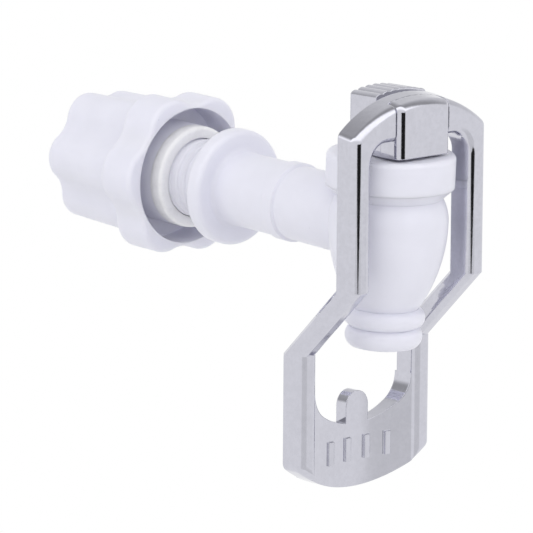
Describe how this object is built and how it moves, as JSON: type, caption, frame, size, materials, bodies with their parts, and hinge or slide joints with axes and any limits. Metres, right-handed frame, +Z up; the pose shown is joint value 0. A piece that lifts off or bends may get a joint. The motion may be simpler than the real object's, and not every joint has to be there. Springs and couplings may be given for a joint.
{
  "type": "water filter tap",
  "caption": "White push tap for a water filter: chromed rocking lever with a looped push frame, downward spout, flanged inlet tube and lobed wall nut.",
  "frame": {"origin": "centre of the flange's rear face, on the inlet's axis, where the flange seats on the filter's wall", "axes": "+Y along the inlet tube into the filter, +Z up, +X to the right as seen by someone who faces the tap"},
  "size_m": [0.0428, 0.116, 0.0966],
  "materials": {
    "white_plastic": "satin",
    "nut_plastic": "satin",
    "chrome_plating": "polished plating on plastic",
    "stem_plastic": "moulded",
    "silicone": "translucent white",
    "black_seal": "moulded",
    "steel": "drawn"
  },
  "bodies": {
    "valve": {"tap_body": "white_plastic", "bonnet_cap": "white_plastic", "guide_bush": "stem_plastic", "stem_o_ring": "black_seal", "bonnet_o_ring": "black_seal", "return_spring": "steel"},
    "stem": {"valve_stem": "stem_plastic", "valve_plug": "silicone", "spring_washer": "steel"},
    "lever": {"lever_block": "chrome_plating", "lever_pin": "steel", "push_frame": "chrome_plating"},
    "washer": {"seal_washer": "silicone"},
    "nut": {"mounting_nut": "nut_plastic"}
  },
  "joints": [
    {"name": "stem_lift", "type": "slide", "parent": "valve", "child": "stem", "axis": [0, 0, 1], "range_m": [0, 0.002], "deforming": ["return_spring"]},
    {"name": "lever_tilt", "type": "hinge", "parent": "stem", "child": "lever", "pos_m": [0, -0.0535, 0.022], "axis": [1, 0, 0], "range_deg": [0, 14], "stiffness_Nm_per_rad": 0.049, "springref_deg": -28.07},
    {"name": "washer_slide", "type": "slide", "parent": "valve", "child": "washer", "axis": [0, -1, 0], "range_m": [0, 0.01]},
    {"name": "nut_turn", "type": "hinge", "parent": "washer", "child": "nut", "pos_m": [0, 0.0136, 0], "axis": [0, -1, 0], "range_deg": [0, 1441]}
  ],
  "couplings": [
    {"joint": "stem_lift", "follows": "lever_tilt", "m_per_rad": 0.0078},
    {"joint": "nut_turn", "follows": "washer_slide", "rad_per_m": 2513.3}
  ]
}
